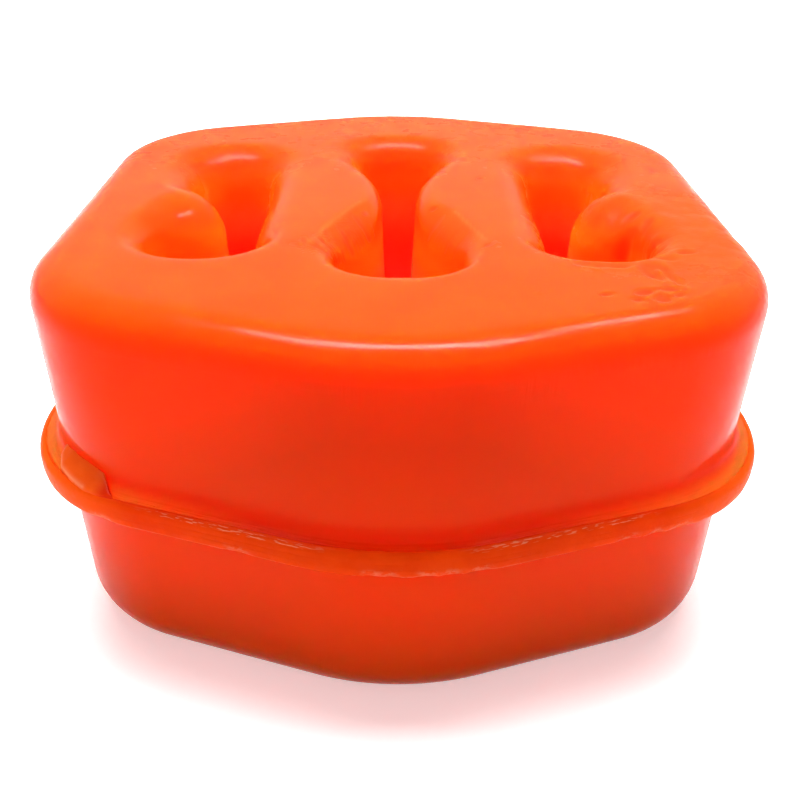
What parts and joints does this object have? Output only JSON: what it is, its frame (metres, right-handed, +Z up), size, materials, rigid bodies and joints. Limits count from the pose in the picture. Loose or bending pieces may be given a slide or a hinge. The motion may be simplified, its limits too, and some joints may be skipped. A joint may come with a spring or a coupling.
{
  "type": "exhaust hanger cushion",
  "caption": "Cast elastomer exhaust hanger block, a rounded hexagon with waisted openings for hanger rods and a band of flash at its parting line.",
  "frame": {"origin": "middle of the bounding box on the narrow bottom face's plane", "axes": "+Z up through the openings to the wide face, +Y along the openings towards the back, +X across the block to the right"},
  "size_m": [0.0746, 0.08, 0.04],
  "materials": {
    "urethane": "satin, slightly translucent orange cast polyurethane",
    "flash": "satin, slightly translucent orange cast polyurethane, knife-trimmed"
  },
  "bodies": {
    "root": {"upper_block": "urethane", "lower_block": "urethane", "parting_rib": "flash", "gate_stub": "flash"}
  },
  "joints": []
}
